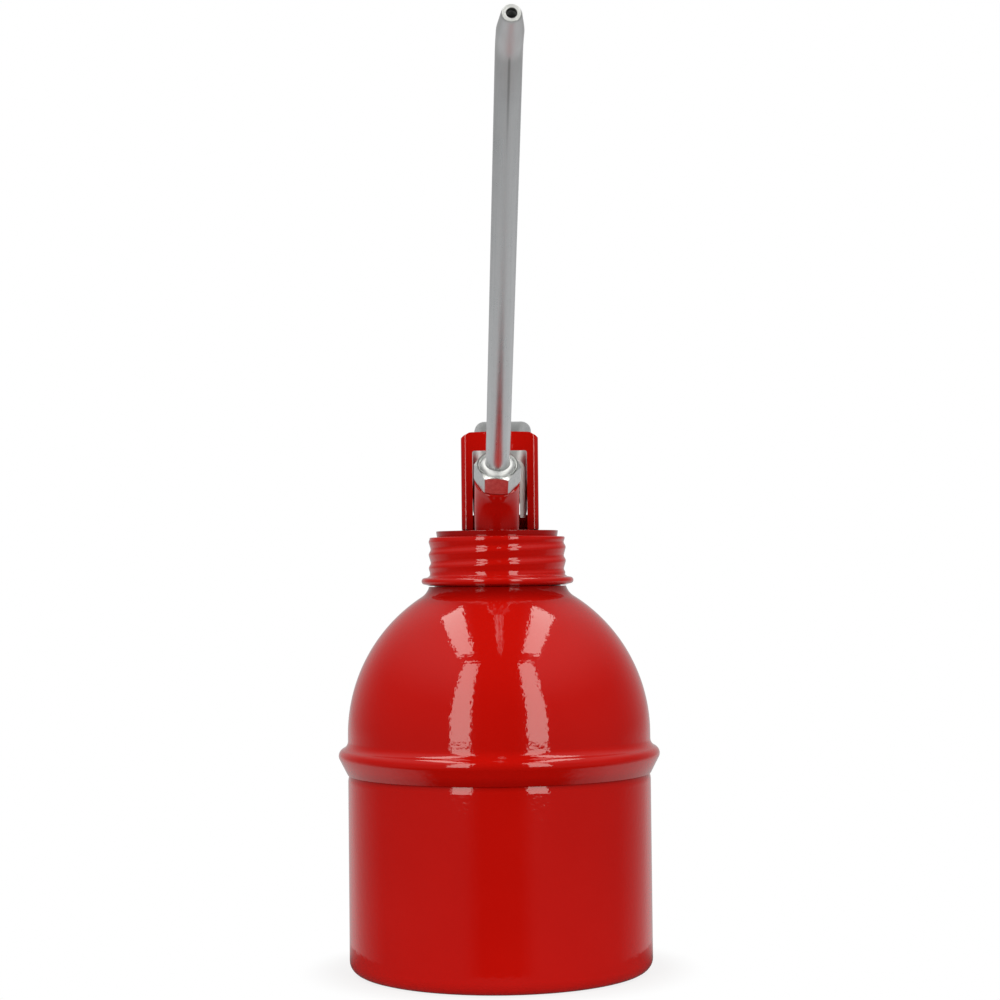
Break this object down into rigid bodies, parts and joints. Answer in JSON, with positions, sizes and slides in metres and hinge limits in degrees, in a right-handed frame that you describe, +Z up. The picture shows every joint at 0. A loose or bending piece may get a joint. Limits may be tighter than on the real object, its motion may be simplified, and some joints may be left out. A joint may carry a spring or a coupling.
{
  "type": "pump oil can",
  "caption": "Painted steel oil can with a domed top, a screw cap that carries a thumb-lever plunger pump, and a long rigid spout with a bent tip.",
  "frame": {"origin": "centre of the can's base, on the plane it stands on", "axes": "+Z up along the can's axis, -Y the way the spout points, +Y the way the lever's thumb plate points"},
  "size_m": [0.0954, 0.1848, 0.2549],
  "materials": {
    "red_paint": "glossy stoved enamel on steel sheet",
    "zinc_plate": "bright zinc plate, slightly clouded",
    "bright_plate": "polished plate",
    "bare_brass": "turned, bare",
    "oil_rubber": "moulded oil-resistant rubber"
  },
  "bodies": {
    "can": {"body_cup": "red_paint", "dome_shell": "red_paint"},
    "cap_seal": {"cap_gasket": "oil_rubber"},
    "head": {"screw_cap": "red_paint", "head_frame": "red_paint", "barrel": "red_paint", "barrel_nut": "bare_brass", "spout_nut": "bright_plate", "spout_seal": "oil_rubber", "spout_tube": "zinc_plate", "pump_block": "bare_brass", "channel_plug": "bare_brass", "gland_nut": "bare_brass", "gland_packing": "oil_rubber", "pump_cylinder": "bare_brass", "valve_stop": "bare_brass", "foot_valve": "bare_brass", "suction_tube": "zinc_plate", "strainer": "bare_brass", "pivot_pin": "zinc_plate", "pivot_washers": "zinc_plate"},
    "foot_check": {"foot_ball": "bright_plate"},
    "press_lever": {"lever": "zinc_plate", "link_pin": "zinc_plate"},
    "plunger": {"plunger_rod": "zinc_plate", "piston": "bare_brass", "piston_cup": "oil_rubber", "return_spring": "zinc_plate"},
    "piston_check": {"piston_ball": "bright_plate"}
  },
  "joints": [
    {"name": "cap_lift", "type": "slide", "parent": "can", "child": "cap_seal", "axis": [0, 0, 1], "range_m": [0, 0.01]},
    {"name": "cap_turn", "type": "hinge", "parent": "cap_seal", "child": "head", "pos_m": [0, 0, 0.12], "axis": [0, 0, 1], "range_deg": [0, 900]},
    {"name": "lever_press", "type": "hinge", "parent": "head", "child": "press_lever", "pos_m": [0.001, 0.0122, 0.1425], "axis": [-1, 0, 0], "range_deg": [0, 25], "stiffness_Nm_per_rad": 0.077, "springref_deg": -45.84},
    {"name": "plunger_lift", "type": "slide", "parent": "head", "child": "plunger", "axis": [0, 0, 1], "range_m": [0, 0.00545], "deforming": ["return_spring"]},
    {"name": "foot_ball_lift", "type": "slide", "parent": "head", "child": "foot_check", "axis": [0, 0, 1], "range_m": [0, 0.001]},
    {"name": "piston_ball_lift", "type": "slide", "parent": "plunger", "child": "piston_check", "axis": [0, 0, 1], "range_m": [0, 0.0005]}
  ],
  "couplings": [
    {"joint": "cap_turn", "follows": "cap_lift", "rad_per_m": 1570.8},
    {"joint": "plunger_lift", "follows": "lever_press", "m_per_rad": 0.012402}
  ]
}
